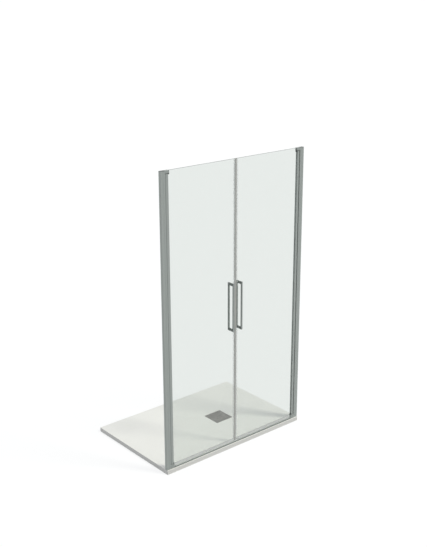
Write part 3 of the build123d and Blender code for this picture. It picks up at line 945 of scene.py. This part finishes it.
@dataclass
class Leaf:
    """One glass leaf with its stile, seals and handles.

    Attributes:
        side: The half of the doorway that the leaf closes.
        seal_gap: The fine gap between a strip and the glass in it.
        seal_wall: Thickness of a strip's walls.
        leg_flare: How far a leg's tip stands out from the glass.
        tip_bevel: How much is cut off a leg's tip at each corner.
        tip_length: How far from its end a leg begins to stand out.
        chamber_radius: Rounding of the magnet chamber's corners.
        hollow_radius: Rounding of the corners inside that chamber.
        fin_thickness: Thickness of the drip seal's fin.
        fin_reach: How far inwards of the glass's middle the fin's tip lies.
        lip_height: Height of the drip seal's soft lips.
        finishes: The finish of each CAD node that stays, by its name without the side.
    """

    side: Side
    seal_gap: float = 0.05 * MM
    seal_wall: float = 1.0 * MM
    leg_flare: float = 0.35 * MM
    tip_bevel: float = 0.4 * MM
    tip_length: float = 1.2 * MM
    chamber_radius: float = 1.4 * MM
    hollow_radius: float = 0.7 * MM
    fin_thickness: float = 0.8 * MM
    fin_reach: float = 3.6 * MM
    lip_height: float = 5.0 * MM

    finishes: ClassVar[dict[str, Finish]] = {
        "glass_panel": GLASS,
        "hinge_stile": ANODISED_UPRIGHT,
        "glazing_gasket": ELASTOMER,
        "top_end_plug": DARK_NYLON,
        "bottom_end_plug": GREY_ABS,
        "pivot_bushes": ACETAL,
        "magnet_strip": MAGNET,
        "outer_handle": SATIN_CHROME,
        "inner_handle": SATIN_CHROME,
        "handle_studs": TURNED_STEEL,
        "handle_washers": CLEAR_ACRYLIC,
        "handle_grub_screws": TURNED_STEEL,
    }

    @property
    def body(self) -> str:
        """The CAD body that the leaf's pieces ride on."""
        return self.side.node("leaf")

    def build(self) -> None:
        """Dress the leaf's CAD pieces and build its two soft seals."""
        for name, finish in self.finishes.items():
            dress_node(self.side.node(name), finish)
        self.build_magnet_seal()
        self.build_drip_seal()

    def build_magnet_seal(self) -> None:
        """Build the closing seal: a grey chamber round the magnet, and clear legs on the glass."""
        node = self.side.node("magnet_seal")
        low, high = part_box(node)
        glass_low, glass_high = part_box(self.side.node("glass_panel"))
        closing = min(abs(low.x), abs(high.x))
        tip = max(abs(low.x), abs(high.x))
        glass_edge = min(abs(glass_low.x), abs(glass_high.x))
        door_y = (glass_low.y + glass_high.y) / 2
        half_glass = (glass_high.y - glass_low.y) / 2 + self.seal_gap
        half_leg = half_glass + self.seal_wall
        half_depth = (high.y - low.y) / 2
        web = glass_edge - self.seal_gap
        chamber_end = glass_edge - self.seal_wall
        side = self.side.value
        to_frame = Matrix(((side, 0, 0, 0), (0, 1, 0, door_y), (0, 0, 1, 0), (0, 0, 0, 1)))
        upper = [
            (web, half_glass),
            (tip - self.tip_bevel, half_glass),
            (tip, half_glass + self.leg_flare),
            (tip - self.tip_bevel, half_leg + self.leg_flare),
            (tip - self.tip_length, half_leg),
            (chamber_end, half_depth),
            (closing, half_depth),
        ]
        radii = [0.0] * (len(upper) - 1) + [self.chamber_radius]
        corners = upper + [(x, -y) for x, y in reversed(upper)]
        outline = rounded(corners, radii + radii[::-1])
        near = closing + self.seal_wall
        far = chamber_end - self.seal_wall
        half_hollow = half_depth - self.seal_wall
        hollow = [(far, half_hollow), (near, half_hollow), (near, -half_hollow), (far, -half_hollow)]
        hole = rounded(hollow, [self.hollow_radius] * len(hollow))
        piece = Strip(f"{node}_strip", outline, low.z, high.z, to_frame, hole).mesh()
        piece.data.materials.append(GREY_VINYL.material())
        piece.data.materials.append(CLEAR_VINYL.material())
        for face in piece.data.polygons:
            face.material_index = int(abs(face.center.x) > chamber_end + self.seal_gap)
        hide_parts(node)
        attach(piece, self.body)
        LOG.info("%s replaces %s", piece.name, node)

    def build_drip_seal(self) -> None:
        """Build the drip seal: a milky channel with pale lips, and a fin that leans inwards."""
        node = self.side.node("drip_seal")
        low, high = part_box(node)
        glass_low, glass_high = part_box(self.side.node("glass_panel"))
        door_y = (glass_low.y + glass_high.y) / 2
        half_glass = (glass_high.y - glass_low.y) / 2 + self.seal_gap
        half_leg = half_glass + self.seal_wall
        seat = glass_low.z - self.seal_gap
        web = seat - self.seal_wall
        to_frame = Matrix(((0, 0, 1, 0), (1, 0, 0, door_y), (0, 1, 0, 0), (0, 0, 0, 1)))
        lip = high.z - self.lip_height
        leg = [
            (half_glass, seat),
            (half_glass, lip),
            (half_glass, high.z - self.tip_bevel),
            (half_glass + self.leg_flare, high.z),
            (half_leg + self.leg_flare, high.z - self.tip_bevel),
            (half_leg, high.z - self.tip_length),
            (half_leg, lip),
            (half_leg, web),
        ]
        fin = [
            (self.fin_reach, low.z),
            (self.fin_reach - self.fin_thickness, low.z),
            (self.fin_thickness, web),
        ]
        outline = leg + fin + [(-y, z) for y, z in reversed(leg)]
        piece = Strip(f"{node}_strip", outline, low.x, high.x, to_frame).mesh()
        piece.data.materials.append(MILKY_VINYL.material())
        piece.data.materials.append(LIP_VINYL.material())
        for face in piece.data.polygons:
            face.material_index = int(face.center.z > lip)
        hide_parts(node)
        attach(piece, self.body)
        LOG.info("%s replaces %s", piece.name, node)


@dataclass
class Threshold:
    """The low rail on the tray's front rim."""

    def build(self) -> None:
        """Dress the rail."""
        dress_node("threshold_rail", ANODISED_LEVEL)


@dataclass
class Studio:
    """A pale floor, an even sky and one soft key lamp from the front right.

    Attributes:
        floor_size: Side of the floor.
        floor_drop: How far the floor lies under the part, so that the two don't flicker.
        floor_colour: The sRGB colour that the floor has for the lamps, which keeps the shadow.
        floor_glow: How much of the floor's white is seen only, and lights nothing.
        sky_colour: The sRGB colour of the light from all round.
        sky_strength: Level of that light.
        backdrop_colour: The sRGB colour of the sky where it is seen.
        key_colour: The key lamp's sRGB colour.
        key_strength: The key lamp's level on a surface that faces it.
        key_azimuth: Direction of the key lamp, in degrees from -Y towards +X.
        key_elevation: Height of the key lamp over the horizon, in degrees.
        key_softness: Width of the key lamp in the sky, in degrees.
        key_distance: Place of the key lamp along that direction, which changes nothing in its light.
    """

    floor_size: float = 400.0
    floor_drop: float = 0.2 * MM
    floor_colour: str = "#838483"
    floor_glow: float = 0.79
    sky_colour: str = "#F5F8FF"
    sky_strength: float = 0.69
    backdrop_colour: str = "#FFFFFF"
    key_colour: str = "#FFFDF6"
    key_strength: float = 0.447
    key_azimuth: float = 32.7
    key_elevation: float = 50.0
    key_softness: float = 13.0
    key_distance: float = 40.0

    def seen(self, tree: bpy.types.NodeTree) -> bpy.types.NodeSocket:
        """Add a value that is one for rays that show a surface, and zero for rays that light it.

        Args:
            tree: The node tree of a material or of the world.

        Returns:
            The value's socket.
        """
        rays = add_node(tree, "ShaderNodeLightPath")
        straight = add_node(
            tree,
            "ShaderNodeMath",
            {"operation": "MAXIMUM"},
            {0: rays.outputs["Is Camera Ray"], 1: rays.outputs["Is Glossy Ray"]},
        )
        either = add_node(
            tree,
            "ShaderNodeMath",
            {"operation": "MAXIMUM"},
            {0: straight.outputs["Value"], 1: rays.outputs["Is Transmission Ray"]},
        )
        return either.outputs["Value"]

    def build(self) -> None:
        """Build the floor, the sky and the key lamp."""
        self.build_floor()
        self.build_sky()
        self.build_key()

    def build_floor(self) -> None:
        """Build the floor, whose white keeps the object's shadow."""
        half = self.floor_size / 2
        data = bpy.data.meshes.new("studio_floor")
        corners = [(-half, -half), (half, -half), (half, half), (-half, half)]
        data.from_pydata([(x, y, -self.floor_drop) for x, y in corners], [], [(0, 1, 2, 3)])
        floor = bpy.data.objects.new("studio_floor", data)
        bpy.context.scene.collection.objects.link(floor)
        material = bpy.data.materials.new("studio_floor_paint")
        material.use_nodes = True
        tree = material.node_tree
        tree.nodes.clear()
        paint = add_node(tree, "ShaderNodeBsdfDiffuse", {"Color": linear(self.floor_colour)})
        glow = add_node(tree, "ShaderNodeEmission", {"Strength": self.floor_glow})
        dark = add_node(tree, "ShaderNodeEmission", {"Strength": 0.0})
        shown = add_node(
            tree,
            "ShaderNodeMixShader",
            links={0: self.seen(tree), 1: dark.outputs["Emission"], 2: glow.outputs["Emission"]},
        )
        both = add_node(
            tree,
            "ShaderNodeAddShader",
            links={0: paint.outputs["BSDF"], 1: shown.outputs["Shader"]},
        )
        add_node(tree, "ShaderNodeOutputMaterial", links={"Surface": both.outputs["Shader"]})
        data.materials.append(material)

    def build_sky(self) -> None:
        """Make the world white where it is seen, and softer where it lights the object."""
        world = bpy.data.worlds.new("studio_sky")
        bpy.context.scene.world = world
        world.use_nodes = True
        tree = world.node_tree
        tree.nodes.clear()
        light = add_node(
            tree,
            "ShaderNodeBackground",
            {"Color": linear(self.sky_colour), "Strength": self.sky_strength},
        )
        white = add_node(
            tree, "ShaderNodeBackground", {"Color": linear(self.backdrop_colour), "Strength": 1.0}
        )
        mixed = add_node(
            tree,
            "ShaderNodeMixShader",
            links={
                0: self.seen(tree),
                1: light.outputs["Background"],
                2: white.outputs["Background"],
            },
        )
        add_node(tree, "ShaderNodeOutputWorld", links={"Surface": mixed.outputs["Shader"]})

    def build_key(self) -> None:
        """Build the key lamp, high on the front right."""
        data = bpy.data.lights.new("key_lamp", "SUN")
        data.energy = self.key_strength * math.pi
        data.color = linear(self.key_colour)[:3]
        data.angle = math.radians(self.key_softness)
        lamp = bpy.data.objects.new("key_lamp", data)
        azimuth = math.radians(self.key_azimuth)
        elevation = math.radians(self.key_elevation)
        towards = Vector((
            math.sin(azimuth) * math.cos(elevation),
            -math.cos(azimuth) * math.cos(elevation),
            math.sin(elevation),
        ))
        lamp.rotation_mode = "QUATERNION"
        lamp.rotation_quaternion = towards.to_track_quat("Z", "Y")
        lamp.location = towards * self.key_distance
        bpy.context.scene.collection.objects.link(lamp)


@dataclass
class ReferenceCamera:
    """The camera at the photograph's place and angle.

    Attributes:
        width_px: The photograph's width.
        height_px: The photograph's height.
        focal_px: Focal length in the photograph's pixels.
        azimuth: Direction of view, in degrees from +Y towards +X.
        elevation: How far the view looks down, in degrees.
        roll: Turn about the line of sight, in degrees.
        place: Where the camera stands.
        sensor_mm: Length of the sensor's longer side.
        clip_end: How far the camera sees, which takes in the whole floor.
    """

    width_px: int = 427
    height_px: int = 547
    focal_px: float = 922.18
    azimuth: float = 40.026
    elevation: float = 18.338
    roll: float = -0.239
    place: tuple[float, float, float] = (-3.8033, -4.6905, 3.169)
    sensor_mm: float = 36.0
    clip_end: float = 1000.0

    def build(self) -> None:
        """Create the camera and make it the scene's own."""
        data = bpy.data.cameras.new("reference_camera")
        data.sensor_width = self.sensor_mm
        data.lens = self.sensor_mm * self.focal_px / max(self.width_px, self.height_px)
        data.clip_end = self.clip_end
        camera = bpy.data.objects.new("reference_camera", data)
        azimuth = math.radians(self.azimuth)
        elevation = math.radians(self.elevation)
        roll = math.radians(self.roll)
        ahead = Vector((
            math.sin(azimuth) * math.cos(elevation),
            math.cos(azimuth) * math.cos(elevation),
            -math.sin(elevation),
        ))
        level = Vector((math.cos(azimuth), -math.sin(azimuth), 0.0))
        upright = level.cross(ahead)
        right = math.cos(roll) * level + math.sin(roll) * upright
        up = -math.sin(roll) * level + math.cos(roll) * upright
        matrix = Matrix((right, up, -ahead)).transposed().to_4x4()
        matrix.translation = Vector(self.place)
        camera.matrix_world = matrix
        bpy.context.scene.collection.objects.link(camera)
        bpy.context.scene.camera = camera


def main() -> None:
    """Build the looks of every sub-assembly, then the studio and the camera."""
    logging.basicConfig(level=logging.INFO, format="%(message)s")
    bpy.context.scene.view_settings.view_transform = "Standard"
    Tray().build()
    Threshold().build()
    for side in Side:
        Doorway(side).build()
        Leaf(side).build()
    Studio().build()
    ReferenceCamera().build()


if __name__ == "__main__":
    main()
